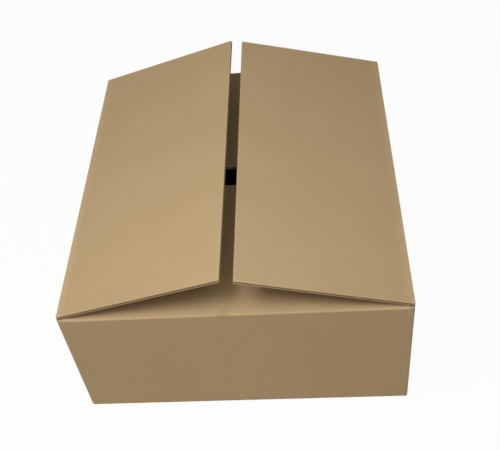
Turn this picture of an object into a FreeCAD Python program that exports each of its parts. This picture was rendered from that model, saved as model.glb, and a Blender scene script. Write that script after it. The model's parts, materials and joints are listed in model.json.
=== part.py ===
# A regular slotted shipping carton of single-wall corrugated board, standing on its closed bottom.
# The body is one slit, slotted and folded sheet: four walls, the glue tab of the maker's joint, the
# bottom flaps folded shut and glued, and the two inner top flaps folded flat over the end walls.
# The two outer top flaps are hinged on the side walls' top creases and stand part open.
# Origin: centre of the footprint, on the surface the carton stands on. X runs across the outer
# flaps from left to right, Y from the front wall to the back wall, and Z up. Lengths are in mm.
import FreeCAD, Part

import os

import Sketcher

SIZES = {
    "width": (450.0, "outside, from side wall to side wall"),
    "length": (500.0, "outside, from front wall to back wall"),
    "end_height": (208.0, "floor to the outside of an end wall's top crease"),
    "board": (4.0, "caliper of the corrugated board"),
    "liner": (0.4, "thickness of each flat facing of the board"),
    "medium": (0.5, "thickness of the fluted paper, measured along the board"),
    "flute_pitch": (7.8, "distance from one flute to the next"),
    "flute_depth": (8.0, "how far the open flutes are modelled into a cut edge"),
    "edge_groove": (0.8, "how far the facings stand proud on an edge cut along the flutes"),
    "crush": (0.8, "inside radius of a fold, where the score has crushed the board"),
    "fold_radius": (2.5, "outside radius of a fold"),
    "slot_depth": (0.7, "from where an end fold starts to curve down to the slots beside it"),
    "outer_setback": (0.5, "from a corner fold's curve back to the end of an outer flap"),
    "inner_setback": (0.3, "from a corner fold's curve back to the side of an inner flap"),
    "meeting_gap": (1.0, "between the free edges of a closed pair of outer flaps"),
    "inner_gap": (38.0, "between the free edges of a closed pair of inner flaps"),
    "stack_clearance": (0.3, "between a closed outer top flap and the inner flaps under it"),
    "ridge": (0.4, "radius of the raised fold line along the outer top flaps' creases"),
    "hinge_gap": (0.3, "between the raised fold line and the mitred root of a flap"),
    "tab_width": (35.0, "width of the glue tab"),
    "tab_margin": (10.0, "from the end creases' inner faces to the glue tab's root"),
    "tab_taper": (9.0, "how much nearer the middle the tab's ends are at its free edge"),
    "joint_gap": (0.3, "from the jointed corner's curve back to the left wall's cut edge"),
    "left_opening": (15.9, "degrees that the left outer flap stands above closed"),
    "right_opening": (15.1, "degrees that the right outer flap stands above closed"),
}

# How closely an edge must lie on the fold line it is looked up by.
TOLERANCE = 1e-4

# How much further a 45 degree mitre reaches along a face than straight through it.
MITRE = 2 ** 0.5

# Half the width of a flute's hollow at its wide side, as a share of half a pitch.
WIDE_SHARE = 0.75

# A sketch's own axes, as its constraints number them.
H_AXIS = -1
V_AXIS = -2

# A circle's centre, as a sketch's constraints number its points.
CENTRE = 3


class Size:
    """A number together with the formula on the sheet that gives it."""

    def __init__(self, value, formula):
        self.value = value
        self.formula = formula

    def _join(self, sign, other, value):
        text = other.formula if isinstance(other, Size) else repr(other)
        return Size(value, f"({self.formula} {sign} {text})")

    def __add__(self, other):
        return self._join("+", other, self.value + number(other))

    def __sub__(self, other):
        return self._join("-", other, self.value - number(other))

    def __mul__(self, other):
        return self._join("*", other, self.value * number(other))

    def __truediv__(self, other):
        return self._join("/", other, self.value / number(other))

    def __neg__(self):
        return self * -1


def number(size):
    """The plain value of a size or of a number."""
    return size.value if isinstance(size, Size) else size


def make_sheet(doc):
    """Write the driving dimensions to the sheet and return them by name."""
    sheet = doc.addObject("Spreadsheet::Sheet", "Sizes")
    for row, (name, (value, note)) in enumerate(SIZES.items(), start=1):
        sheet.set(f"A{row}", name.replace("_", " ") + ": " + note)
        sheet.set(f"B{row}", str(value))
        sheet.setAlias(f"B{row}", name)
    return {name: Size(value, f"Sizes.{name}") for name, (value, note) in SIZES.items()}


def plane(body, role):
    """One of the body's own origin planes."""
    return next(item for item in body.Origin.OriginFeatures if item.Role == role)


def make_sketch(body, name, role, offset=None):
    """An empty sketch on an origin plane, or set off along that plane's normal."""
    sketch = body.newObject("Sketcher::SketchObject", name)
    sketch.AttachmentSupport = [(plane(body, role), "")]
    sketch.MapMode = "FlatFace"
    if offset is not None:
        sketch.AttachmentOffset = FreeCAD.Placement(FreeCAD.Vector(0, 0, offset.value), FreeCAD.Rotation())
        sketch.setExpression("AttachmentOffset.Base.z", offset.formula)
    return sketch


def draw_loop(sketch, corners):
    """Draw a closed loop of straight lines through corners held at sheet sizes.

    Each corner is a pair of sizes, across and up. None stands for the axis itself.
    """
    points = [FreeCAD.Vector(*(0 if item is None else item.value for item in corner), 0) for corner in corners]
    lines = []
    for start, end in zip(points, points[1:] + points[:1]):
        lines.append(sketch.addGeometry(Part.LineSegment(start, end), False))
    for before, after in zip(lines[-1:] + lines[:-1], lines):
        sketch.addConstraint(Sketcher.Constraint("Coincident", before, 2, after, 1))
    for line, (across, up) in zip(lines, corners):
        hold_point(sketch, line, "DistanceX", across, V_AXIS)
        hold_point(sketch, line, "DistanceY", up, H_AXIS)


def draw_circle(sketch, across, up, radius):
    """Draw a circle whose centre and radius come from the sheet."""
    centre = FreeCAD.Vector(across.value, up.value, 0)
    circle = sketch.addGeometry(Part.Circle(centre, FreeCAD.Vector(0, 0, 1), radius.value), False)
    index = sketch.addConstraint(Sketcher.Constraint("Radius", circle, radius.value))
    sketch.setExpression(f"Constraints[{index}]", radius.formula)
    hold_point(sketch, circle, "DistanceX", across, V_AXIS, CENTRE)
    hold_point(sketch, circle, "DistanceY", up, H_AXIS, CENTRE)


def hold_point(sketch, item, kind, size, axis, point=1):
    """Hold a line's first point or a circle's centre at a distance from the origin, or on an axis."""
    if size is None:
        sketch.addConstraint(Sketcher.Constraint("PointOnObject", item, point, axis))
        return
    index = sketch.addConstraint(Sketcher.Constraint(kind, -1, 1, item, point, size.value))
    sketch.setExpression(f"Constraints[{index}]", size.formula)


def round_edges(body, name, radius, lines):
    """Round the straight edges that lie on the given lines.

    Each line is a triple of sizes, X, Y and Z, where None marks the direction it runs in and 0 a
    coordinate of nought.
    """
    body.Document.recompute()
    before = body.Tip
    names = []
    for index, edge in enumerate(before.Shape.Edges, start=1):
        ends = [vertex.Point for vertex in edge.Vertexes]
        if any(all(lies_on(end, line) for end in ends) for line in lines):
            names.append(f"Edge{index}")
    if len(names) != len(lines):
        raise RuntimeError(f"{name}: {len(names)} edges found for {len(lines)} folds")
    feature = body.newObject("PartDesign::Fillet", name)
    feature.Base = (before, names)
    feature.setExpression("Radius", radius.formula)
    feature.Radius = radius.value
    body.Tip = feature
    return feature


def lies_on(point, line):
    """Whether a point is on a line that is given as for round_edges."""
    return all(place is None or abs(found - number(place)) < TOLERANCE for found, place in zip(point, line))


def pad(body, name, sketch, length, both_ways=False):
    """Raise a sketch into a solid, forwards or to both sides of its plane."""
    feature = body.newObject("PartDesign::Pad", name)
    feature.Profile = sketch
    if both_ways:
        feature.SideType = "Symmetric"
    feature.setExpression("Length", length.formula)
    feature.Length = length.value
    body.Tip = feature
    return feature


def pocket(body, name, sketch, depth, towards_normal=False):
    """Sink a sketch into the solid, along its plane's normal or against it."""
    feature = body.newObject("PartDesign::Pocket", name)
    feature.Profile = sketch
    feature.Reversed = towards_normal
    feature.setExpression("Length", depth.formula)
    feature.Length = depth.value
    body.Tip = feature
    return feature


def mirror(body, name, originals, role):
    """Repeat features on the other side of one of the body's origin planes."""
    feature = body.newObject("PartDesign::Mirrored", name)
    feature.Originals = originals
    feature.MirrorPlane = (plane(body, role), [""])
    body.Tip = feature
    return feature


def fold_flap(body, name, role, size, face, outside, inside, root, reach, span):
    """Fold one flap square off a wall, together with the stub of the wall beside the fold.

    face is the wall's outer face, outside and inside the heights of the flap's two faces, root
    where the stub ends in the wall, reach how far the flap comes in from the wall's face, and span
    the flap's length along its crease.
    """
    sketch = make_sketch(body, name + "_section", role)
    draw_loop(sketch, [
        (face, root),
        (face, outside),
        (face - reach, outside),
        (face - reach, inside),
        (face - size["board"], inside),
        (face - size["board"], root),
    ])
    return pad(body, name, sketch, span, both_ways=True)


def make_body(doc, size):
    """The folded sheet: walls, glue tab, closed bottom and inner top flaps."""
    body = doc.addObject("PartDesign::Body", "carton_body")
    body.Label = "carton_body"
    board = size["board"]
    half_width = size["width"] / 2
    half_length = size["length"] / 2
    end_top = size["end_height"]
    wall_top = end_top - size["fold_radius"] - size["slot_depth"]
    wall_foot = board + size["fold_radius"] + size["slot_depth"]
    top_root = wall_top - board * 2
    foot_root = wall_foot + board * 2
    inner_reach = half_length - size["inner_gap"] / 2
    outer_reach = half_width - size["meeting_gap"] / 2
    inner_span = size["width"] - (board + size["fold_radius"] + size["inner_setback"]) * 2
    outer_span = outer_flap_span(size)

    # Four walls. At the back left the back wall turns in behind the left wall, whose cut edge shows
    # beside the back wall's own fold.
    plan = make_sketch(body, "sleeve_plan", "XY_Plane", wall_foot)
    cut_edge = half_length - size["fold_radius"] - size["joint_gap"]
    draw_loop(plan, [
        (-half_width, -half_length),
        (half_width, -half_length),
        (half_width, half_length),
        (-half_width + board, half_length),
        (-half_width + board, cut_edge),
        (-half_width, cut_edge),
    ])
    draw_loop(plan, [
        (-half_width + board, -half_length + board),
        (half_width - board, -half_length + board),
        (half_width - board, half_length - board),
        (-half_width + board, half_length - board),
    ])
    pad(body, "sleeve", plan, wall_top - wall_foot)

    # Inner flaps over and under the end walls, then the outer flaps that close the bottom. The
    # outer flaps are creased one board further out than the inner ones, so that they lie flat.
    inner_top = fold_flap(body, "inner_top_flap", "YZ_Plane", size, half_length,
                          end_top, end_top - board, top_root, inner_reach, inner_span)
    inner_bottom = fold_flap(body, "inner_bottom_flap", "YZ_Plane", size, half_length,
                             board, board * 2, foot_root, inner_reach, inner_span)
    mirror(body, "front_flaps", [inner_top, inner_bottom], "XZ_Plane")
    outer_bottom = fold_flap(body, "outer_bottom_flap", "XZ_Plane", size, half_width,
                             None, board, foot_root, outer_reach, outer_span)

    # The side walls end in a mitred edge along the outer top flaps' crease, where the outer facing
    # stands up in a fine round ridge. The flaps turn on the middle of that ridge.
    rim = make_sketch(body, "side_rim_section", "XZ_Plane")
    crease = side_crease(size)
    draw_loop(rim, [
        (half_width, top_root),
        (half_width, crease),
        (half_width - board, crease - board),
        (half_width - board, top_root),
    ])
    side_rim = pad(body, "side_rim", rim, outer_span, both_ways=True)
    ridge_section = make_sketch(body, "ridge_section", "XZ_Plane")
    draw_circle(ridge_section, half_width, crease, size["ridge"])
    ridge = pad(body, "ridge", ridge_section, outer_span, both_ways=True)
    mirror(body, "left_folds", [outer_bottom, side_rim, ridge], "YZ_Plane")

    # The glue tab lies against the left wall's inner face, tapered at both ends.
    tab = make_sketch(body, "glue_tab_outline", "YZ_Plane", -half_width + board)
    tab_root = half_length - board / 2
    tab_edge = half_length - board - size["tab_width"]
    draw_loop(tab, [
        (tab_root, wall_foot + size["tab_margin"]),
        (tab_root, wall_top - size["tab_margin"]),
        (tab_edge, wall_top - size["tab_margin"] - size["tab_taper"]),
        (tab_edge, wall_foot + size["tab_margin"] + size["tab_taper"]),
    ])
    pad(body, "glue_tab", tab, board)

    # Every fold is round outside, and inside it has the small radius of the crushed score.
    outside = [(-half_width + board, half_length, None), (half_width, half_length, None)]
    inside = [(half_width - board, half_length - board, None)]
    for side in (-1, 1):
        outside.append((half_width * side, -half_length, None))
        outside.append((half_width * side, None, 0))
        outside.append((None, half_length * side, end_top))
        outside.append((None, half_length * side, board))
        inside.append(((half_width - board) * side, -half_length + board, None))
        inside.append(((half_width - board) * side, None, board))
        inside.append((None, (half_length - board) * side, end_top - board))
        inside.append((None, (half_length - board) * side, board * 2))
    round_edges(body, "outer_folds", size["fold_radius"], outside)
    round_edges(body, "crushed_scores", size["crush"], inside)

    # The inner top flaps' free edges face each other across the gap, one to the front and one back.
    # The sketch plane's normal points to the front.
    top = end_top - size["liner"]
    low = end_top - board + size["liner"]
    gap_edge = size["inner_gap"] / 2
    open_flutes(body, "back_inner", size, "XZ_Plane", -gap_edge, top, low, inner_span)
    open_flutes(body, "front_inner", size, "XZ_Plane", gap_edge, top, low, inner_span, towards_normal=True)
    return body


def side_crease(size):
    """Height of the outer flaps' top faces when shut: one board above the inner flaps."""
    return size["end_height"] + size["board"] + size["stack_clearance"]


def outer_flap_span(size):
    """Length of an outer flap along its crease, between the slots."""
    return size["length"] - (size["fold_radius"] + size["outer_setback"]) * 2


def make_flap(doc, size, name, sign, opening):
    """One outer top flap, drawn shut from its fold line and then swung open."""
    body = doc.addObject("PartDesign::Body", name)
    body.Label = name
    board = size["board"]
    span = outer_flap_span(size)
    root = (size["ridge"] + size["hinge_gap"]) * MITRE * -sign
    free_edge = (size["width"] / 2 - size["meeting_gap"] / 2) * -sign

    section = make_sketch(body, name + "_section", "XZ_Plane")
    draw_loop(section, [
        (root, None),
        (free_edge, None),
        (free_edge, -board),
        (root - board * sign, -board),
    ])
    pad(body, name + "_board", section, span, both_ways=True)

    # The ends are cut along the flutes, so the two facings stand proud of the fluted paper there.
    groove = make_sketch(body, name + "_groove", "XZ_Plane", span / 2)
    top = -size["liner"]
    low = -board + size["liner"]
    crushed = root - board * sign * 2
    draw_loop(groove, [
        (crushed, top),
        (free_edge, top),
        (free_edge, low),
        (crushed, low),
    ])
    end = pocket(body, name + "_front_groove", groove, size["edge_groove"])
    mirror(body, name + "_grooves", [end], "XZ_Plane")
    open_flutes(body, name, size, "YZ_Plane", free_edge, top, low, span, towards_normal=sign > 0)

    body.Placement = FreeCAD.Placement(FreeCAD.Vector(), FreeCAD.Rotation(FreeCAD.Vector(0, sign, 0), opening.value))
    body.setExpression("Placement.Base.x", (size["width"] / 2 * sign).formula)
    body.setExpression("Placement.Base.z", side_crease(size).formula)
    body.setExpression("Placement.Rotation.Angle", opening.formula)
    return body


def open_flutes(body, name, size, role, edge, top, low, span, towards_normal=False):
    """Open the flutes' mouths along a cut edge that crosses them.

    The flutes run from crease to free edge, so they show as a wave along the free edge. Each pitch
    has one hollow under the top facing and one over the bottom facing. edge is where the cut is
    along the sketch plane's normal, top and low the facings' inner faces.
    """
    mouth = make_sketch(body, name + "_flute_mouth", role, edge)
    pitch = size["flute_pitch"]
    start = -span / 2 + pitch / 2
    draw_cell(mouth, size, start, top, low)
    draw_cell(mouth, size, start + pitch / 2, low, top)
    cut = pocket(body, name + "_flutes", mouth, size["flute_depth"], towards_normal)
    row = body.newObject("PartDesign::LinearPattern", name + "_flute_row")
    row.Originals = [cut]
    row.Direction = (mouth, ["H_Axis"])
    flutes = f"floor({span.formula} / {pitch.formula})"
    row.setExpression("Occurrences", f"{flutes} - 1")
    row.setExpression("Length", f"{pitch.formula} * ({flutes} - 2)")
    body.Tip = row


def draw_cell(sketch, size, place, wide, narrow):
    """One hollow between the fluted paper and a facing, as a trapezium."""
    half_pitch = size["flute_pitch"] / 2
    edge = size["medium"] / 2
    base = half_pitch * WIDE_SHARE - edge
    tip = half_pitch * (1 - WIDE_SHARE) - edge
    draw_loop(sketch, [
        (place - base, wide),
        (place + base, wide),
        (place + tip, narrow),
        (place - tip, narrow),
    ])


def main():
    doc = FreeCAD.newDocument("carton")
    size = make_sheet(doc)
    doc.recompute()
    make_body(doc, size)
    make_flap(doc, size, "left_top_flap", -1, size["left_opening"])
    make_flap(doc, size, "right_top_flap", 1, size["right_opening"])
    doc.recompute()
    for item in doc.Objects:
        if "Invalid" in item.State or "Error" in item.State:
            raise RuntimeError(f"{item.Label} did not build: {item.State}")
    parts = [item for item in doc.Objects if item.TypeId == "PartDesign::Body"]
    for part in parts:
        if part.Shape.isNull() or not part.Shape.isValid():
            raise RuntimeError(f"{part.Label} has no valid shape")
    os.makedirs("parts", exist_ok=True)
    for part in parts:
        part.Shape.exportStep(os.path.join("parts", part.Label + ".step"))
        print(part.Label, len(part.Shape.Solids), round(part.Shape.Volume), part.Shape.BoundBox)


main()
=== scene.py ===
"""An open corrugated carton in brown kraft board, on a pale floor in soft studio light."""

import enum
import json
import logging
import math
from collections.abc import Callable, Iterable, Mapping, Sequence
from dataclasses import dataclass

import bmesh
import bpy
from bmesh.types import BMEdge, BMFace, BMVert
from mathutils import Matrix, Vector


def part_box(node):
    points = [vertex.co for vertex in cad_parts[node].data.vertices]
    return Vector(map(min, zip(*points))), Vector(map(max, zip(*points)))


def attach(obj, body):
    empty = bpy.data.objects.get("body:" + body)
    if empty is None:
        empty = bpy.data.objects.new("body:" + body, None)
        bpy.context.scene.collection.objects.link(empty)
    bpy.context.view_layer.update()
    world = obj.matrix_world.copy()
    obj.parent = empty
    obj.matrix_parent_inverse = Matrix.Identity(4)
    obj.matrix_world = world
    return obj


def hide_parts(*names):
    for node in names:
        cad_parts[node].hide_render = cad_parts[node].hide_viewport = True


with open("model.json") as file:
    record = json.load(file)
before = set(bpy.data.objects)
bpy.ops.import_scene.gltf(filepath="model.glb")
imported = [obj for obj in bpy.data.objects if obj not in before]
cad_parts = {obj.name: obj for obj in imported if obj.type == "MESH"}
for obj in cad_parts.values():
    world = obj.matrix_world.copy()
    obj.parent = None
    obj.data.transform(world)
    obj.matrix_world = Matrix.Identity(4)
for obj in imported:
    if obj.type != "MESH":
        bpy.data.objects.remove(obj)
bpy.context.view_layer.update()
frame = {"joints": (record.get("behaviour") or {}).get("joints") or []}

LOG = logging.getLogger("carton")
MM = 0.001
WELD = 0.001 * MM
NEAR = 0.01 * MM
X = Vector((1, 0, 0))
Y = Vector((0, 1, 0))
Z = Vector((0, 0, 1))


def stops(*places: float, pitch: float) -> list[float]:
    """Divide a line at the given places, and evenly between them.

    Args:
        places: Rising places that have to be hit.
        pitch: The longest step between two stops.

    Returns:
        All the stops, from the first place to the last.
    """
    found = [places[0]]
    for low, high in zip(places, places[1:]):
        steps = max(1, math.ceil((high - low) / pitch))
        found += [low + (high - low) * step / steps for step in range(1, steps + 1)]
    return found


@dataclass(frozen=True)
class Board:
    """Single-wall corrugated board, in metres."""

    caliper: float = 4.0 * MM
    facing: float = 0.4 * MM
    fluting: float = 0.25 * MM
    pitch: float = 7.8 * MM
    points_per_flute: int = 8
    fold_radius: float = 2.5 * MM
    score_radius: float = 0.8 * MM
    fold_steps: int = 6
    grid: float = 12.0 * MM
    # Width of the lighter band along cut edges: rubbed paper, and partly a painted highlight where the edge
    # catches the light.
    worn_and_lit_edge: float = 2.5 * MM
    groove: float = 1.0 * MM

    @property
    def wave_height(self) -> float:
        """Half the height of the fluted paper's wave, measured on its middle."""
        return self.caliper / 2 - self.facing - self.fluting / 3

    def crease_stops(self, span: float) -> list[float]:
        """Stops along a flap's crease of half length span, close together at its cut ends."""
        band_start = span - self.worn_and_lit_edge
        return stops(-span, -band_start, band_start, span, pitch=self.grid)


class Layer(enum.Enum):
    """The two flat facings of a board, by which way they face on the folded carton."""

    OUTSIDE = 0
    INSIDE = 1


class Finish(enum.IntEnum):
    """Material slots of every board piece, in order."""

    OUTSIDE = 0
    INSIDE = 1
    CUT_EDGE = 2
    FLUTING = 3


class Paper:
    """A paper layer, grown strip by strip, that remembers its place on the flat blank."""

    def __init__(self, board: Board) -> None:
        """Start with no paper.

        Args:
            board: The board that the paper is a layer of.
        """
        self.board = board
        self.mesh = bmesh.new()
        self.blank = self.mesh.verts.layers.float_vector.new("blank")
        self.wear_and_highlight = self.mesh.verts.layers.float.new("wear_and_highlight")

    def strip(self, origin: Vector, heading: Vector, places: Sequence[float], towards: Vector,
              advance: Vector = Y) -> "Strip":
        """Lay an edge and begin a strip there. Where paper is near, the blank goes on from it.

        Args:
            origin: Where place 0 of the starting edge is.
            heading: Direction of the starting edge.
            places: Stops along the starting edge.
            towards: The way that the strip's first face has to face.
            advance: The way that the strip grows on the blank.

        Returns:
            The strip, which is still one bare edge.
        """
        ends = [origin + heading * places[0], origin + heading * places[-1]]
        sideways = Vector((abs(advance.y), abs(advance.x), 0))
        marks = [self._mark(end) or sideways * place for end, place in zip(ends, (places[0], places[-1]))]
        vert = bmesh.ops.create_vert(self.mesh, co=ends[0])["vert"][0]
        vert[self.blank] = marks[0]
        edges: list[BMEdge] = []
        for before, after in zip(places, places[1:]):
            grown = bmesh.ops.extrude_vert_indiv(self.mesh, verts=[vert])
            vert = grown["verts"][0]
            vert.co += heading * (after - before)
            vert[self.blank] = marks[0].lerp(marks[1], (after - places[0]) / (places[-1] - places[0]))
            edges += grown["edges"]
        return Strip(self, edges, advance, towards)

    def _mark(self, place: Vector) -> Vector | None:
        """Read the blank's coordinates at the nearest vertex, if there is any."""
        nearest = min(self.mesh.verts, key=lambda vert: (vert.co - place).length_squared, default=None)
        return Vector(nearest[self.blank]) if nearest else None

    def free_edges(self, accept: Callable[[Vector], bool]) -> list[BMEdge]:
        """Find the edges of the paper's outline whose two ends are both accepted."""
        return [edge for edge in self.mesh.edges
                if edge.is_boundary and all(accept(vert.co) for vert in edge.verts)]

    def weld(self) -> None:
        """Join the strips where they meet."""
        bmesh.ops.remove_doubles(self.mesh, verts=self.mesh.verts[:], dist=WELD)

    def thicken(self, thickness: float, finish: Finish) -> None:
        """Weld the strips, mark the outline for a lighter band, worn paper and partly a painted highlight,
        and give the paper its thickness, behind the faces.

        Args:
            thickness: Thickness in metres.
            finish: The finish of the faces that are there already. The backs face the fluting.
        """
        self.weld()
        # The outline is painted lighter: rubbed paper, and partly a painted highlight on the cut edges.
        for edge in self.mesh.edges:
            if edge.is_boundary:
                for vert in edge.verts:
                    vert[self.wear_and_highlight] = 1.0
        front = self.mesh.faces[:]
        result = bmesh.ops.solidify(self.mesh, geom=front, thickness=thickness)
        for face in self.mesh.faces:
            face.material_index = Finish.CUT_EDGE
        for face in front:
            face.material_index = finish
        for item in result["geom"]:
            if isinstance(item, BMFace):
                item.material_index = Finish.FLUTING


class Strip:
    """A strip of paper that is grown from an edge by runs and folds."""

    # How much lighter the middle of a fold is painted: rubbed paper, and partly a painted highlight where
    # the fold catches the light.
    FOLD_WEAR_AND_HIGHLIGHT = 0.9

    def __init__(self, paper: Paper, edges: Sequence[BMEdge], advance: Vector,
                 towards: Vector | None = None) -> None:
        """Begin at edges of the paper.

        Args:
            paper: The paper that grows.
            edges: The leading edge.
            advance: The way that the strip grows on the blank.
            towards: The way that the first face has to face. None if it follows the paper's own faces.
        """
        self.paper = paper
        self.edge = list(edges)
        self.advance = advance
        self.towards = towards
        self.new_faces: list[BMFace] = []

    def _grow(self, length: float) -> list[BMVert]:
        """Extrude the leading edge in place.

        Args:
            length: How far the row will reach on the blank.

        Returns:
            The new vertices.
        """
        mesh = self.paper.mesh
        grown = bmesh.ops.extrude_edge_only(mesh, edges=self.edge)["geom"]
        verts = [item for item in grown if isinstance(item, BMVert)]
        self.edge = [item for item in grown if isinstance(item, BMEdge)]
        self.new_faces = [item for item in grown if isinstance(item, BMFace)]
        for vert in verts:
            vert[self.paper.blank] = Vector(vert[self.paper.blank]) + self.advance * length
            vert[self.paper.wear_and_highlight] = 0.0
        return verts

    def _face_out(self) -> None:
        """Turn the first row of faces the right way. Later rows follow it."""
        if self.towards is None:
            return
        for face in self.new_faces:
            face.normal_update()
            if face.normal.dot(self.towards) < 0:
                face.normal_flip()
        self.towards = None

    def run(self, travel: Vector, rows: int = 0) -> "Strip":
        """Grow the strip straight on.

        Args:
            travel: How far, and which way.
            rows: How many rows of faces. As many as the board's grid asks for if nought.

        Returns:
            The strip itself.
        """
        rows = rows or max(1, math.ceil(travel.length / self.paper.board.grid))
        for _ in range(rows):
            verts = self._grow(travel.length / rows)
            bmesh.ops.translate(self.paper.mesh, verts=verts, vec=travel / rows)
            self._face_out()
        return self

    def run_out(self, travel: Vector) -> "Strip":
        """Grow the strip straight on to a cut edge, with a last narrow row where it is worn and carries a
        painted highlight.
        """
        last = travel.normalized() * self.paper.board.worn_and_lit_edge
        return self.run(travel - last).run(last)

    def fold(self, centre: Vector, axis: Vector, degrees: float) -> "Strip":
        """Grow the strip round a fold, which rubs the paper a little and is painted lighter, partly as a
        painted highlight.

        Args:
            centre: A point on the fold's axis.
            axis: The axis that the paper turns about.
            degrees: How far it turns.

        Returns:
            The strip itself.
        """
        steps = max(1, round(self.paper.board.fold_steps * abs(degrees) / 90))
        middle = self.edge[0].verts[0].co - centre
        radius = (middle - axis * middle.dot(axis)).length
        turn = Matrix.Rotation(math.radians(degrees) / steps, 3, axis)
        for step in range(1, steps + 1):
            verts = self._grow(radius * math.radians(abs(degrees)) / steps)
            bmesh.ops.rotate(self.paper.mesh, verts=verts, cent=centre, matrix=turn)
            # Lighter at the middle of the fold: rubbed paper and partly a painted highlight.
            for vert in verts:
                vert[self.paper.wear_and_highlight] = self.FOLD_WEAR_AND_HIGHLIGHT * math.sin(math.pi * step / steps)
            self._face_out()
        return self


def join(target: bmesh.types.BMesh, source: bmesh.types.BMesh) -> None:
    """Add one mesh to another and free it.

    Args:
        target: The mesh that grows.
        source: The mesh that is added.
    """
    carrier = bpy.data.meshes.new("carrier")
    source.to_mesh(carrier)
    source.free()
    target.from_mesh(carrier)
    bpy.data.meshes.remove(carrier)


@dataclass(frozen=True)
class Flutes:
    """A rectangle of fluted paper, given by its middle plane."""

    ROWS = 4

    corner: Vector
    across: Vector
    along: Vector
    outward: Vector

    def build(self, board: Board) -> bmesh.types.BMesh:
        """Make the wave, extrude it along its flutes and give it its thickness.

        Args:
            board: The board that the fluting is in.

        Returns:
            The paper's mesh.
        """
        paper = Paper(board)
        places = stops(0.0, self.across.length, pitch=board.pitch / board.points_per_flute)
        strip = paper.strip(self.corner, self.across.normalized(), places, self.outward)
        for vert in paper.mesh.verts:
            wave = math.sin(vert[paper.blank][0] / board.pitch * math.tau)
            vert.co += self.outward * (board.wave_height * wave + board.fluting / 2)
        strip.run(self.along, rows=self.ROWS)
        paper.thicken(board.fluting, Finish.FLUTING)
        return paper.mesh


class BoardPiece:
    """A piece of board: its mesh, its finishes and its Blender object."""

    BEAD_SIDES = 12
    SHARP = math.radians(35)

    def __init__(self, name: str, board: Board) -> None:
        """Start an empty piece.

        Args:
            name: The Blender object's name.
            board: The board that it is made of.
        """
        self.name = name
        self.board = board
        self.mesh = bmesh.new()
        self.mesh.verts.layers.float_vector.new("blank")
        self.mesh.verts.layers.float.new("wear_and_highlight")

    def add_facing(self, paper: Paper, finish: Finish) -> None:
        """Thicken a facing and add it to the piece."""
        paper.thicken(self.board.facing, finish)
        join(self.mesh, paper.mesh)

    def add_flutes(self, flutes: Iterable[Flutes]) -> None:
        """Add rectangles of fluted paper."""
        for part in flutes:
            join(self.mesh, part.build(self.board))

    def add_bead(self, start: Vector, end: Vector, radius: float, finish: Finish) -> None:
        """Add a closed round bead between two points.

        Args:
            start: Centre of one end.
            end: Centre of the other end.
            radius: The bead's radius.
            finish: The finish of all its faces.
        """
        bead = bmesh.new()
        along = end - start
        turn = along.to_track_quat("Z", "Y").to_matrix().to_4x4()
        place = Matrix.Translation((start + end) / 2) @ turn
        bmesh.ops.create_cone(bead, cap_ends=True, segments=self.BEAD_SIDES, radius1=radius, radius2=radius,
                              depth=along.length, matrix=place)
        self._add_plain(bead, finish)

    def add_block(self, low: Vector, high: Vector, finish: Finish) -> None:
        """Add a block between two opposite corners.

        Args:
            low: The lowest corner.
            high: The highest corner.
            finish: The finish of all its faces.
        """
        block = bmesh.new()
        size = Matrix.Diagonal((*(high - low), 1))
        bmesh.ops.create_cube(block, size=1.0, matrix=Matrix.Translation((low + high) / 2) @ size)
        self._add_plain(block, finish)

    def _add_plain(self, shape: bmesh.types.BMesh, finish: Finish) -> None:
        """Add a shape of one finish, with its own places for the blank's.

        Args:
            shape: The mesh that is added and freed.
            finish: The finish of all its faces.
        """
        blank = shape.verts.layers.float_vector.new("blank")
        shape.verts.layers.float.new("wear_and_highlight")
        for vert in shape.verts:
            vert[blank] = vert.co.yxz
        for face in shape.faces:
            face.material_index = finish
        join(self.mesh, shape)

    def finish(self, materials: Sequence[bpy.types.Material], body: str, node: str) -> bpy.types.Object:
        """Turn the mesh into an object, dress it and put it on its body.

        Args:
            materials: One material for each finish, in order.
            body: The CAD body that it rides on.
            node: The CAD node that it stands for.

        Returns:
            The finished object.
        """
        mesh = self.mesh
        blank = mesh.verts.layers.float_vector["blank"]
        places = mesh.loops.layers.uv.new("blank")
        for face in mesh.faces:
            face.smooth = True
            for loop in face.loops:
                loop[places].uv = loop.vert[blank].xy
        for edge in mesh.edges:
            edge.smooth = len(edge.link_faces) == 2 and edge.calc_face_angle(0.0) < self.SHARP
        mesh.verts.layers.float_vector.remove(blank)
        data = bpy.data.meshes.new(self.name)
        mesh.to_mesh(data)
        mesh.free()
        for material in materials:
            data.materials.append(material)
        piece = bpy.data.objects.new(self.name, data)
        bpy.context.scene.collection.objects.link(piece)
        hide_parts(node)
        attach(piece, body)
        LOG.info("%s: %d faces on body %s", self.name, len(data.polygons), body)
        return piece


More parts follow.
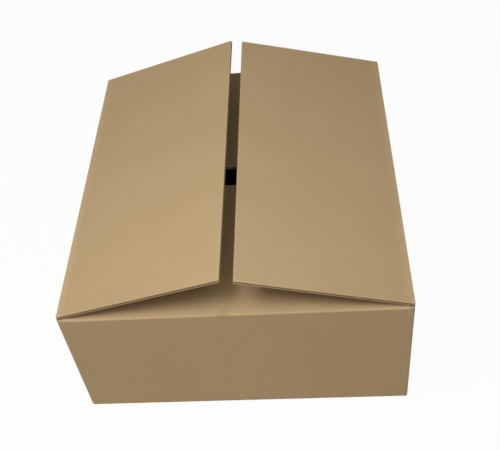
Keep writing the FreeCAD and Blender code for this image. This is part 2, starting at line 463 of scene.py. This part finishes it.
@dataclass(frozen=True)
class CartonBody:
    """The slit and folded sheet: walls, bottom flaps, inner top flaps and glue tab."""

    board: Board
    half_width: float
    half_length: float
    crease_height: float
    ridge: float
    stack_clearance: float = 0.3 * MM
    slot_depth: float = 0.7 * MM
    inner_setback: float = 0.3 * MM
    outer_setback: float = 0.5 * MM
    inner_gap: float = 38.0 * MM
    meeting_gap: float = 1.0 * MM
    joint_gap: float = 0.3 * MM
    tab_width: float = 35.0 * MM
    tab_margin: float = 10.0 * MM
    tab_taper: float = 9.0 * MM
    post_drop: float = 0.4 * MM
    press_drop: float = 0.2 * MM
    press_depth: float = 5.0 * MM
    dark_patch_place: float = -12.0 * MM
    dark_patch_reach: float = 8.0 * MM

    @property
    def end_height(self) -> float:
        """Height of the inner top flaps' outer facing."""
        return self.crease_height - self.board.caliper - self.stack_clearance

    @property
    def wall_top(self) -> float:
        """Height of the slots between the top flaps."""
        return self.end_height - self.board.fold_radius - self.slot_depth

    @property
    def wall_foot(self) -> float:
        """Height of the slots between the bottom flaps."""
        return self.board.caliper + self.board.fold_radius + self.slot_depth

    @property
    def inner_half_span(self) -> float:
        """Half the length of an inner flap along its crease."""
        return self.half_width - self.board.caliper - self.board.fold_radius - self.inner_setback

    @property
    def outer_half_span(self) -> float:
        """Half the length of an outer flap along its crease."""
        return self.half_length - self.board.fold_radius - self.outer_setback

    def facing(self, layer: Layer) -> Paper:
        """Grow one facing of the whole sheet.

        Args:
            layer: Which of the two facings.

        Returns:
            The paper, with no thickness yet.
        """
        paper = Paper(self.board)
        self._grow_sleeve(paper, layer)
        for side in (-1, 1):
            self._grow_end_flap(paper, layer, side, top=True)
            self._grow_end_flap(paper, layer, side, top=False)
            self._grow_rim(paper, layer, side)
            self._grow_outer_bottom(paper, layer, side)
        self._grow_tab(paper, layer)
        self._grow_posts(paper, layer)
        if layer is Layer.OUTSIDE:
            self._dark_patch(paper)
        return paper

    def _inset(self, layer: Layer) -> float:
        """How far a facing's visible side lies behind the board's outside."""
        return 0.0 if layer is Layer.OUTSIDE else self.board.caliper

    def _radius(self, layer: Layer) -> float:
        """Radius of a facing's folds."""
        return self.board.fold_radius if layer is Layer.OUTSIDE else self.board.score_radius

    def _sense(self, layer: Layer) -> int:
        """Whether a facing looks outwards, 1, or into the carton, -1."""
        return 1 if layer is Layer.OUTSIDE else -1

    def _wall_stops(self, low: float, high: float, span: float) -> list[float]:
        """Stops along a wall, with the slots' places among them."""
        inner = [place for place in self.board.crease_stops(span) if low < place < high]
        return [low, *inner, high]

    def _grow_sleeve(self, paper: Paper, layer: Layer) -> None:
        """Walk the wall panels round the carton, from the joint and back to it.

        Args:
            paper: The facing's paper, which grows.
            layer: Which of the two facings.
        """
        inset, radius, sense = self._inset(layer), self._radius(layer), self._sense(layer)
        half_x, half_y = self.half_width - inset, self.half_length - inset
        rows = stops(self.wall_foot, self.wall_foot + self.tab_margin,
                     self.wall_top - self.tab_margin, self.wall_top, pitch=self.board.grid)
        joint_x = -self.half_width + self.board.caliper + inset
        begin = Vector((joint_x, half_y - radius, 0))
        strip = paper.strip(begin, Z, rows, X * -sense, advance=X)
        strip.fold(begin + X * radius, Z, -90)
        self._walk(strip, [joint_x + radius, half_x - radius], self.inner_half_span, X)
        strip.fold(Vector((half_x - radius, half_y - radius, 0)), Z, -90)
        self._walk(strip, [half_y - radius, -half_y + radius], self.outer_half_span, Y)
        strip.fold(Vector((half_x - radius, -half_y + radius, 0)), Z, -90)
        self._walk(strip, [half_x - radius, -half_x + radius], self.inner_half_span, X)
        strip.fold(Vector((-half_x + radius, -half_y + radius, 0)), Z, -90)
        cut = self.half_length - self.board.fold_radius - self.joint_gap
        self._walk(strip, [-half_y + radius, cut], self.outer_half_span, Y)

    def _walk(self, strip: Strip, ends: list[float], span: float, axis: Vector) -> None:
        """Run a wall panel from one place to another along an axis.

        Args:
            strip: The strip that grows.
            ends: Where the panel begins and ends on the axis.
            span: Half the length of the flaps on this wall, whose slots need stops.
            axis: The axis that the panel runs along.
        """
        low, high = sorted(ends)
        places = self._wall_stops(low, high, span)
        if ends[0] > ends[1]:
            places.reverse()
        for before, after in zip(places, places[1:]):
            strip.run(axis * (after - before), rows=1)

    def _grow_end_flap(self, paper: Paper, layer: Layer, side: int, top: bool) -> None:
        """Fold an inner flap in over the top or the bottom of an end wall.

        Args:
            paper: The facing's paper, which grows.
            layer: Which of the two facings.
            side: 1 for the higher end of the axis, -1 for the lower one.
            top: Whether it is a top flap.
        """
        inset, radius, sense = self._inset(layer), self._radius(layer), self._sense(layer)
        wall_y = (self.half_length - inset) * side
        up = 1 if top else -1
        root = self.wall_top if top else self.wall_foot
        plane = self.end_height - inset if top else self.board.caliper + inset
        strip = paper.strip(Vector((0, wall_y, root)), X, self.board.crease_stops(self.inner_half_span),
                            Y * side * sense, advance=Y * up)
        bend = plane - radius * up
        strip.run(Z * (bend - root))
        strip.fold(Vector((0, wall_y - radius * side, bend)), X, 90 * side * up)
        strip.run_out(Y * side * (self.inner_gap / 2 - abs(wall_y) + radius))

    def _grow_rim(self, paper: Paper, layer: Layer, side: int) -> None:
        """Raise a side wall to the outer top flap's crease, which is mitred inside.

        Args:
            paper: The facing's paper, which grows.
            layer: Which of the two facings.
            side: 1 for the higher end of the axis, -1 for the lower one.
        """
        inset, sense = self._inset(layer), self._sense(layer)
        wall_x = (self.half_width - inset) * side
        rows = self.board.crease_stops(self.outer_half_span)
        strip = paper.strip(Vector((wall_x, 0, self.wall_top)), Y, rows, X * side * sense)
        top = self.crease_height - inset
        strip.run(Z * (top - self.wall_top))
        if layer is Layer.INSIDE:
            reach = self.board.caliper - self.board.facing
            strip.run((X * side + Z) * reach, rows=1)

    def _grow_outer_bottom(self, paper: Paper, layer: Layer, side: int) -> None:
        """Fold an outer flap in under the bottom.

        Args:
            paper: The facing's paper, which grows.
            layer: Which of the two facings.
            side: 1 for the higher end of the axis, -1 for the lower one.
        """
        inset, radius, sense = self._inset(layer), self._radius(layer), self._sense(layer)
        wall_x = (self.half_width - inset) * side
        foot = Vector((wall_x, 0, self.wall_foot))
        rows = self.board.crease_stops(self.outer_half_span)
        strip = paper.strip(foot, Y, rows, X * side * sense, advance=-Y)
        bend = inset + radius
        strip.run(Z * (bend - self.wall_foot))
        strip.fold(Vector((wall_x - radius * side, 0, bend)), Y, 90 * side)
        strip.run_out(X * side * (self.meeting_gap / 2 - abs(wall_x) + radius))

    def _grow_tab(self, paper: Paper, layer: Layer) -> None:
        """Run the tapered glue tab forward behind the left wall's end.

        Args:
            paper: The facing's paper, which grows.
            layer: Which of the two facings.
        """
        inset, radius, sense = self._inset(layer), self._radius(layer), self._sense(layer)
        low = self.wall_foot + self.tab_margin
        high = self.wall_top - self.tab_margin
        rows = stops(low, high, pitch=self.board.grid)
        root_y = self.half_length - inset - radius
        free_y = self.half_length - self.board.caliper - self.tab_width
        joint_x = -self.half_width + self.board.caliper + inset
        strip = paper.strip(Vector((joint_x, root_y, 0)), Z, rows, X * -sense, advance=-X)
        strip.run_out(Y * (free_y - root_y))
        middle = (low + high) / 2
        narrowing = 1 - self.tab_taper / (middle - low)
        for vert in {vert for edge in strip.edge for vert in edge.verts}:
            vert.co.z = middle + (vert.co.z - middle) * narrowing

    def _grow_posts(self, paper: Paper, layer: Layer) -> None:
        """Raise the corners, which stand up between the slots, to just below the inner flaps' tops.

        Args:
            paper: The facing's paper, which grows.
            layer: Which of the two facings.
        """
        paper.weld()
        reach_x = self.inner_half_span - NEAR
        reach_y = min(self.outer_half_span, self.half_length - self._inset(layer)) - NEAR

        def at_corner(place: Vector) -> bool:
            """Whether a place is on the walls' top edge between two slots."""
            return abs(place.z - self.wall_top) < NEAR and abs(place.x) > reach_x and abs(place.y) > reach_y

        rise = self.end_height - self.post_drop - self.wall_top
        Strip(paper, paper.free_edges(at_corner), Y).run(Z * rise)

    def _dark_patch(self, paper: Paper) -> None:
        """Make the front wall a little darker just below the middle of its crease.

        Args:
            paper: The outside facing's paper.
        """
        middle = Vector((self.dark_patch_place, -self.half_length, self.wall_top))
        for vert in paper.mesh.verts:
            # These places are painted darker.
            if (vert.co - middle).length < self.dark_patch_reach:
                vert[paper.wear_and_highlight] = -1.0

    def presses(self) -> Iterable[tuple[Vector, Vector]]:
        """Opposite corners of the fluting's crushed ends in the slots. The glued joint has none.

        Returns:
            The lowest and highest corner of each crushed end.
        """
        edge, depth = self.board.facing, self.press_depth
        post_top = self.end_height - self.post_drop - self.press_drop
        inside_x, inside_y = self.half_width - self.board.caliper, self.half_length - self.board.caliper
        rim_end = self.outer_half_span - self.press_drop
        for side_x, side_y in ((-1, -1), (1, -1), (1, 1)):
            yield self._box((self.inner_half_span, inside_y + edge, post_top - depth),
                            (self.half_width - edge * 3, self.half_length - edge, post_top), side_x, side_y)
            for step in (0.0, self.board.caliper / 2):
                yield self._box((inside_x + edge + step, rim_end - depth, self.wall_top - depth),
                                (self.half_width - edge, rim_end,
                                 self.crease_height - self.board.caliper + step), side_x, side_y)

    def _box(self, near: Sequence[float], far: Sequence[float],
             side_x: int, side_y: int) -> tuple[Vector, Vector]:
        """Move a box's opposite corners to one of the carton's four corners, and sort them.

        Args:
            near: The corner nearer the carton's middle, as distances from it.
            far: The corner further out.
            side_x: Which end of X, 1 or -1.
            side_y: Which end of Y, 1 or -1.

        Returns:
            The box's lowest and highest corner.
        """
        pairs = zip(near, far, (side_x, side_y, 1))
        low, high = zip(*(sorted((first * side, last * side)) for first, last, side in pairs))
        return Vector(low), Vector(high)

    def flutes(self) -> Iterable[Flutes]:
        """Fluted paper between the facings of every panel.

        Returns:
            One rectangle of fluted paper for each panel.
        """
        half = self.board.caliper / 2
        margin = self.board.facing
        rise = Z * (self.wall_top - self.wall_foot)
        inner, outer = self.inner_half_span - self.board.groove, self.outer_half_span - self.board.groove
        wall_x, wall_y = self.half_width - margin, self.half_length - half
        side_x = self.half_width - half
        cut = self.half_length - self.board.fold_radius - self.joint_gap
        for side in (-1, 1):
            yield Flutes(Vector((-wall_x, wall_y * side, self.wall_foot)), X * wall_x * 2, rise, Y * side)
            reach = self.half_length - half - self.inner_gap / 2
            for height, facing in ((self.end_height - half, Z), (self.board.caliper + half, -Z)):
                corner = Vector((-inner, (self.inner_gap / 2) * side, height))
                yield Flutes(corner, X * inner * 2, Y * side * reach, facing)
            reach = self.half_width - half - self.meeting_gap / 2
            corner = Vector((self.meeting_gap / 2 * side, -outer, half))
            yield Flutes(corner, Y * outer * 2, X * side * reach, -Z)
            rim = Vector((side_x * side, -outer, self.wall_top))
            yield Flutes(rim, Y * outer * 2, Z * (self.crease_height - self.board.caliper - self.wall_top),
                         X * side)
        start = -self.half_length + self.board.caliper
        yield Flutes(Vector((side_x, start, self.wall_foot)), Y * -start * 2, rise, X)
        yield Flutes(Vector((-side_x, start, self.wall_foot)), Y * (cut - start), rise, -X)

    def build(self, materials: Sequence[bpy.types.Material]) -> bpy.types.Object:
        """Make the whole sheet and dress it.

        Args:
            materials: One material for each finish, in order.

        Returns:
            The finished object.
        """
        piece = BoardPiece("carton_board", self.board)
        piece.add_facing(self.facing(Layer.OUTSIDE), Finish.OUTSIDE)
        piece.add_facing(self.facing(Layer.INSIDE), Finish.INSIDE)
        piece.add_flutes(self.flutes())
        for low, high in self.presses():
            piece.add_block(low, high, Finish.CUT_EDGE)
        for side in (-1, 1):
            ends = [Vector((self.half_width * side, self.outer_half_span * end, self.crease_height))
                    for end in (-1, 1)]
            piece.add_bead(ends[0], ends[1], self.ridge, Finish.OUTSIDE)
        return piece.finish(materials, "carton", "carton_body")


@dataclass(frozen=True)
class TopFlap:
    """One outer top flap, drawn shut with its hinge line on the Y axis and then swung open."""

    board: Board
    name: str
    body: str
    node: str
    hinge: Vector
    side: int
    opening: float
    half_span: float
    ridge: float
    hinge_gap: float = 0.3 * MM
    meeting_gap: float = CartonBody.meeting_gap
    roll_play: float = 0.02 * MM

    @property
    def reach(self) -> float:
        """How far the flap reaches from its hinge line to its free edge."""
        return abs(self.hinge.x) - self.meeting_gap / 2

    @property
    def root(self) -> float:
        """How far from the hinge line the mitred root meets the outer facing's plane."""
        return (self.ridge + self.hinge_gap) * math.sqrt(2)

    def facing(self, layer: Layer) -> Paper:
        """Grow one facing of the flap.

        Args:
            layer: Which of the two facings.

        Returns:
            The paper, with no thickness yet.
        """
        paper = Paper(self.board)
        inward = X * -self.side
        rows = self.board.crease_stops(self.half_span)
        if layer is Layer.OUTSIDE:
            strip = paper.strip(Vector((0, 0, 0)), Y, rows, Z)
            strip.run_out(inward * self.reach)
            return paper
        under = self.board.caliper
        rise = under - self.board.facing
        start = inward * (self.root + self.board.facing) - Z * self.board.facing
        strip = paper.strip(start, Y, rows, -Z - inward)
        strip.run((inward - Z) * rise, rows=1)
        strip.run_out(inward * (self.reach - self.root - under))
        return paper

    def flutes(self) -> Iterable[Flutes]:
        """The flap's fluted paper, from the mitred root to just inside the free edge.

        Returns:
            The one rectangle that the flap needs.
        """
        half = self.board.caliper / 2
        start = self.root + self.board.caliper
        span = self.half_span - self.board.groove
        corner = X * -self.side * start - Y * span - Z * half
        yield Flutes(corner, Y * span * 2, X * -self.side * (self.reach - start), Z)

    def build(self, materials: Sequence[bpy.types.Material]) -> bpy.types.Object:
        """Make the flap, swing it to where it stands and dress it.

        Args:
            materials: One material for each finish, in order.

        Returns:
            The finished object.
        """
        piece = BoardPiece(self.name, self.board)
        piece.add_facing(self.facing(Layer.OUTSIDE), Finish.OUTSIDE)
        piece.add_facing(self.facing(Layer.INSIDE), Finish.INSIDE)
        piece.add_flutes(self.flutes())
        end = Y * (self.half_span - self.board.facing / 2)
        piece.add_bead(-end, end, self.ridge - self.roll_play, Finish.OUTSIDE)
        swing = Matrix.Rotation(math.radians(self.opening) * self.side, 4, "Y")
        place = Matrix.Translation(self.hinge) @ swing
        bmesh.ops.transform(piece.mesh, verts=piece.mesh.verts[:], matrix=place)
        return piece.finish(materials, self.body, self.node)


class Signal:
    """A shader socket that Python's operators work on."""

    def __init__(self, graph: "Graph", socket: bpy.types.NodeSocket) -> None:
        """Wrap an output socket of a graph."""
        self.graph = graph
        self.socket = socket

    def _math(self, operation: str, *values: "Signal | float") -> "Signal":
        """Add a Math node on these values."""
        return self.graph.add("ShaderNodeMath", {"operation": operation}, dict(enumerate(values)))

    def __add__(self, other: "Signal | float") -> "Signal":
        """Sum."""
        return self._math("ADD", self, other)

    __radd__ = __add__

    def __sub__(self, other: "Signal | float") -> "Signal":
        """Difference."""
        return self._math("SUBTRACT", self, other)

    def __rsub__(self, other: float) -> "Signal":
        """Difference from a number."""
        return self._math("SUBTRACT", other, self)

    def __mul__(self, other: "Signal | float") -> "Signal":
        """Product."""
        return self._math("MULTIPLY", self, other)

    __rmul__ = __mul__

    def wave(self) -> "Signal":
        """Sine."""
        return self._math("SINE", self)

    def larger(self, other: "Signal | float") -> "Signal":
        """The larger of two values."""
        return self._math("MAXIMUM", self, other)


class Graph:
    """A node tree that is filled through one method."""

    def __init__(self, tree: bpy.types.NodeTree) -> None:
        """Clear a node tree and take it over."""
        self.tree = tree
        tree.nodes.clear()

    def add(self, kind: str, settings: Mapping[str, object] | None = None,
            inputs: Mapping[str | int, object] | None = None, output: str | int = 0) -> Signal:
        """Add a node.

        Args:
            kind: The node's type.
            settings: Its properties, which are set first.
            inputs: Values, or signals to link, by socket name or number.
            output: The socket that is returned.

        Returns:
            The chosen output as a signal. An output node gives a signal with no socket.
        """
        node = self.tree.nodes.new(kind)
        for name, value in (settings or {}).items():
            setattr(node, name, value)
        for name, value in (inputs or {}).items():
            socket = node.inputs[name]
            if isinstance(value, Signal):
                self.tree.links.new(value.socket, socket)
            else:
                socket.default_value = value
        return Signal(self, node.outputs[output] if len(node.outputs) else None)

    def mix(self, factor: Signal | float, first: object, second: object) -> Signal:
        """Mix two colours. Sockets 6, 7 and 2 are the colour ones of a node that mixes more than colours."""
        settings = {"data_type": "RGBA", "blend_type": "MIX", "clamp_factor": True}
        return self.add("ShaderNodeMix", settings, {0: factor, 6: first, 7: second}, output=2)

    def tint(self, colour: object, brightness: Signal) -> Signal:
        """Multiply a colour by a brightness."""
        return self.add("ShaderNodeVectorMath", {"operation": "SCALE"}, {0: colour, "Scale": brightness})

    def noise(self, place: Signal, scale: float, detail: float, roughness: float = 0.5,
              output: str | int = 0) -> Signal:
        """A noise from 0 to 1 at a place, with a scale in features per metre."""
        inputs = {"Vector": place, "Scale": scale, "Detail": detail, "Roughness": roughness}
        return self.add("ShaderNodeTexNoise", {"noise_dimensions": "2D"}, inputs, output)

    def stretch(self, place: Signal, length: float, turn: float = 0.0) -> Signal:
        """Turn a place, and then stretch what is drawn there along its first axis."""
        inputs = {"Vector": place, "Scale": (length, 1.0, 1.0), "Rotation": (0, 0, turn)}
        return self.add("ShaderNodeMapping", {"vector_type": "TEXTURE"}, inputs)

    def remap(self, value: Signal, low: float, high: float, to_low: float, to_high: float) -> Signal:
        """Map a range of values to another, clamped and smooth.

        Args:
            value: The signal that is mapped.
            low: Where the range begins.
            high: Where it ends.
            to_low: What its beginning becomes.
            to_high: What its end becomes.

        Returns:
            The mapped signal.
        """
        settings = {"interpolation_type": "SMOOTHSTEP"}
        inputs = {"Value": value, "From Min": low, "From Max": high, "To Min": to_low, "To Max": to_high}
        return self.add("ShaderNodeMapRange", settings, inputs)


@dataclass(frozen=True)
class Fibres:
    """Fibres that lie one way.

    Length is measured in their own widths, and angle in degrees from the line across the flutes.
    """

    length: float
    angle: float


@dataclass(frozen=True)
class KraftFinish:
    """Brown kraft paper, with the fibre and mottling of real liner, and its faint washboard as bump and as
    painted shade in stripes along the flutes.

    Scales are in features per metre. Mottle, washboard shade, specks and wear with highlight are shares of
    the colour.
    A fibre shows where its noise lies in or above its range.
    """

    name: str
    colour: tuple[float, float, float]
    dark_fibre: tuple[float, float, float, float] = (0.20, 0.125, 0.065, 1.0)
    pale_fibre: tuple[float, float, float, float] = (0.66, 0.54, 0.38, 1.0)
    cloud_scale: float = 9.0
    formation_scale: float = 160.0
    fibre_scale: float = 2400.0
    curl_scale: float = 90.0
    curl: float = 2.5 * MM
    grain: Fibres = Fibres(6.0, 2.865)
    dark_fibres: tuple[Fibres, Fibres] = (Fibres(9.0, 12.0), Fibres(8.0, -38.0))
    pale_fibres: Fibres = Fibres(7.0, 64.0)
    dark_range: tuple[float, float] = (0.74, 0.84)
    pale_range: tuple[float, float] = (0.72, 0.84)
    pale_share: float = 0.7
    mottle: float = 0.07
    formation_share: float = 1.2
    grain_share: float = 1.1
    # Share of painted shade in stripes along the flutes.
    washboard_shade: float = 0.012
    washboard_depth: float = 0.02 * MM
    grain_depth: float = 0.05 * MM
    pitch: float = Board.pitch
    roughness: float = 0.86
    roughness_drift: float = 0.12
    specular: float = 0.25
    specks: float = 0.3
    # Share of the lightening at folds and cut edges, partly a painted highlight.
    wear_and_highlight: float = 0.12

    def build(self) -> bpy.types.Material:
        """Build the material.

        Returns:
            The material.
        """
        material = bpy.data.materials.new(self.name)
        material.use_nodes = True
        graph = Graph(material.node_tree)
        place = graph.add("ShaderNodeUVMap", {"uv_map": "blank"})
        formation = graph.noise(place, self.formation_scale, 4.0, 0.65)
        grain = graph.noise(self._lie(graph, place, self.grain), self.fibre_scale, 3.0, 0.6)
        across = graph.add("ShaderNodeSeparateXYZ", {}, {0: place}, output="X")
        ripple = (across * (math.tau / self.pitch)).wave()
        paper = graph.tint(self.colour, self._brightness(graph, place, formation, grain, ripple))
        height = (grain + formation) * self.grain_depth + ripple * self.washboard_depth
        bump = graph.add("ShaderNodeBump", {}, {"Height": height, "Distance": 1.0, "Strength": 1.0})
        shader = graph.add("ShaderNodeBsdfPrincipled", {}, {
            "Base Color": self._speckle(graph, place, paper),
            "Roughness": self.roughness + (formation - 0.5) * self.roughness_drift,
            "Specular IOR Level": self.specular,
            "Normal": bump})
        graph.add("ShaderNodeOutputMaterial", {}, {"Surface": shader})
        return material

    def _lie(self, graph: Graph, place: Signal, fibres: Fibres) -> Signal:
        """Stretch what is drawn at a place into fibres."""
        return graph.stretch(place, fibres.length, math.radians(fibres.angle))

    def _brightness(self, graph: Graph, place: Signal, formation: Signal, grain: Signal,
                    ripple: Signal) -> Signal:
        """How much lighter or darker than its colour the paper is.

        Args:
            graph: The material's graph.
            place: Where on the blank the paper is.
            formation: The paper's fine clouds.
            grain: Its finest fibres.
            ripple: The wave of the flutes below it.

        Returns:
            A factor on the colour, about 1. Worn paper is lighter, partly as a painted highlight on folds
            and cut edges, and a value below nought makes it darker. The flutes' wave paints faint shade in
            stripes.
        """
        clouds = graph.noise(place, self.cloud_scale, 3.0)
        wear_and_highlight = graph.add("ShaderNodeAttribute", {"attribute_name": "wear_and_highlight"}, {}, output="Fac")
        cloudy = ((clouds - 0.5) + (formation - 0.5) * self.formation_share
                  + (grain - 0.5) * self.grain_share)
        # The ripple term is painted shade of the washboard. The wear term is rubbed paper and partly a
        # painted highlight.
        return (1.0 + cloudy * self.mottle + ripple * (self.washboard_shade / 2)
                + wear_and_highlight * (formation + 0.5) * self.wear_and_highlight)

    def _speckle(self, graph: Graph, place: Signal, paper: Signal) -> Signal:
        """Scatter dark and pale fibres, each a little curled, over the paper's colour.

        Args:
            graph: The material's graph.
            place: Where on the blank the paper is.
            paper: The paper's colour.

        Returns:
            The colour with its fibres.
        """
        drift = graph.noise(place, self.curl_scale, 2.0, output="Color")
        curled = graph.add("ShaderNodeVectorMath", {"operation": "MULTIPLY_ADD"},
                           {0: drift, 1: (self.curl, self.curl, 0.0), 2: place})
        first, second, third = (graph.noise(self._lie(graph, curled, fibres), self.fibre_scale, 1.0)
                                for fibres in (*self.dark_fibres, self.pale_fibres))
        dark = graph.remap(first.larger(second), *self.dark_range, 0.0, self.specks)
        pale = graph.remap(third, *self.pale_range, 0.0, self.specks * self.pale_share)
        return graph.mix(pale, graph.mix(dark, paper, self.dark_fibre), self.pale_fibre)


@dataclass(frozen=True)
class Lamp:
    """A soft round lamp."""

    name: str
    place: Vector
    power: float
    size: float = 1.1
    aim: Vector = Vector((0.0, 0.0, 0.15))

    def build(self) -> None:
        """Hang the lamp and turn it to its aim."""
        lamp = bpy.data.lights.new(self.name, "AREA")
        lamp.shape = "DISK"
        lamp.size = self.size
        lamp.energy = self.power
        holder = bpy.data.objects.new(self.name, lamp)
        holder.location = self.place
        holder.rotation_mode = "QUATERNION"
        holder.rotation_quaternion = (self.aim - self.place).to_track_quat("-Z", "Y")
        holder.visible_camera = False
        bpy.context.scene.collection.objects.link(holder)


@dataclass(frozen=True)
class Studio:
    """A white floor and soft light: a faint dome, a high lamp and a nearer one overhead."""

    floor_size: float = 14.0
    floor_drop: float = 0.2 * MM
    floor_albedo: tuple[float, float, float] = (0.80, 0.78, 0.73)
    floor_white: float = 0.955
    floor_near: float = 0.9
    floor_far: float = 2.4
    dome: float = 0.12
    lamps: tuple[Lamp, ...] = (Lamp("high_lamp", Vector((-0.7, -0.9, 2.4)), 26.6),
                               Lamp("near_lamp", Vector((-0.07, -0.45, 1.0)), 4.6))

    def build(self) -> None:
        """Make the floor, the world and the lamps."""
        self._build_world()
        self._build_floor()
        for lamp in self.lamps:
            lamp.build()
        bpy.context.scene.view_settings.view_transform = "Standard"

    def _seen(self, graph: Graph) -> Signal:
        """Whether a ray comes from the camera or through a glossy or clear surface.

        Args:
            graph: The graph of the surface that is seen.

        Returns:
            1 for such a ray, and 0 for one that lights.
        """
        path = {name: graph.add("ShaderNodeLightPath", {}, {}, output=name)
                for name in ("Is Camera Ray", "Is Glossy Ray", "Is Transmission Ray")}
        return path["Is Camera Ray"].larger(path["Is Glossy Ray"]).larger(path["Is Transmission Ray"])

    def _build_world(self) -> None:
        """A dome that lights softly and looks white."""
        world = bpy.data.worlds.new("studio")
        bpy.context.scene.world = world
        world.use_nodes = True
        graph = Graph(world.node_tree)
        strength = graph.remap(self._seen(graph), 0.0, 1.0, self.dome, 1.0)
        background = graph.add("ShaderNodeBackground", {}, {"Color": (1, 1, 1, 1), "Strength": strength})
        graph.add("ShaderNodeOutputWorld", {}, {"Surface": background})

    def _build_floor(self) -> None:
        """A floor that looks white, and still shows the carton's shadow."""
        material = bpy.data.materials.new("floor")
        material.use_nodes = True
        graph = Graph(material.node_tree)
        matt = graph.add("ShaderNodeBsdfDiffuse", {}, {"Color": (*self.floor_albedo, 1.0)})
        white = graph.add("ShaderNodeEmission", {}, {"Color": (1, 1, 1, 1), "Strength": 1.0})
        place = graph.add("ShaderNodeTexCoord", {}, {}, output="Object")
        distance = graph.add("ShaderNodeVectorMath", {"operation": "LENGTH"}, {0: place}, output="Value")
        whiteness = graph.remap(distance, self.floor_near, self.floor_far, self.floor_white, 1.0)
        share = self._seen(graph) * whiteness
        surface = graph.add("ShaderNodeMixShader", {}, {0: share, 1: matt, 2: white})
        graph.add("ShaderNodeOutputMaterial", {}, {"Surface": surface})
        mesh = bmesh.new()
        bmesh.ops.create_grid(mesh, x_segments=1, y_segments=1, size=self.floor_size / 2,
                              matrix=Matrix.Translation(Z * -self.floor_drop))
        data = bpy.data.meshes.new("floor")
        mesh.to_mesh(data)
        mesh.free()
        data.materials.append(material)
        floor = bpy.data.objects.new("floor", data)
        bpy.context.scene.collection.objects.link(floor)


@dataclass(frozen=True)
class StudioCamera:
    """The camera at the photograph's viewing angle."""

    place: Vector = Vector((0.10537, -0.85089, 1.02235))
    aim: Vector = Vector((-0.02637, 0.04835, 0.1))
    roll: float = -8.94
    lens: float = 58.26
    sensor: float = 36.0
    shift: tuple[float, float] = (0.0434, -0.0417)

    def build(self) -> None:
        """Make the camera and put it to use."""
        data = bpy.data.cameras.new("camera")
        data.lens = self.lens
        data.sensor_width = self.sensor
        data.shift_x, data.shift_y = self.shift
        data.clip_start = 0.01
        camera = bpy.data.objects.new("camera", data)
        look = (self.aim - self.place).to_track_quat("-Z", "Y").to_matrix().to_4x4()
        roll = Matrix.Rotation(math.radians(self.roll), 4, "Z")
        camera.matrix_world = Matrix.Translation(self.place) @ look @ roll
        bpy.context.scene.collection.objects.link(camera)
        bpy.context.scene.camera = camera


def build_flaps(board: Board, half_span: float, ridge: float,
                materials: Sequence[bpy.types.Material]) -> None:
    """Make both outer top flaps, each on its own hinge.

    Args:
        board: The board that they are made of.
        half_span: Half their length along the crease.
        ridge: Radius of the raised fold line that they hinge on.
        materials: One material for each finish, in order.
    """
    for joint in frame["joints"]:
        hinge = Vector(joint["pos_m"])
        side = 1 if hinge.x > 0 else -1
        word = "right" if side > 0 else "left"
        flap = TopFlap(board=board, name=f"{word}_flap_board", body=joint["child"], node=f"{word}_top_flap",
                       hinge=hinge, side=side, opening=-joint["range_deg"][0], half_span=half_span,
                       ridge=ridge)
        flap.build(materials)


def main() -> None:
    """Build the carton, the studio and the camera."""
    logging.basicConfig(level=logging.INFO, format="%(name)s: %(message)s")
    board = Board()
    hinge = Vector(frame["joints"][0]["pos_m"])
    body_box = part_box("carton_body")
    body = CartonBody(board=board, half_width=abs(hinge.x), half_length=body_box[1].y,
                      crease_height=hinge.z, ridge=body_box[1].x - abs(hinge.x))
    outside = KraftFinish("kraft_outside", (0.493, 0.348, 0.187)).build()
    inside = KraftFinish("kraft_inside", (0.40, 0.25, 0.115), mottle=0.10, washboard_shade=0.03).build()
    edge = KraftFinish("cut_edge", (0.46, 0.33, 0.19), specks=0.2).build()
    fluting = KraftFinish("fluting", (0.40, 0.28, 0.155), washboard_shade=0.0, washboard_depth=0.0).build()
    materials = [outside, inside, edge, fluting]
    body.build(materials)
    build_flaps(board, body.outer_half_span, body.ridge, materials)
    Studio().build()
    StudioCamera().build()


if __name__ == "__main__":
    main()
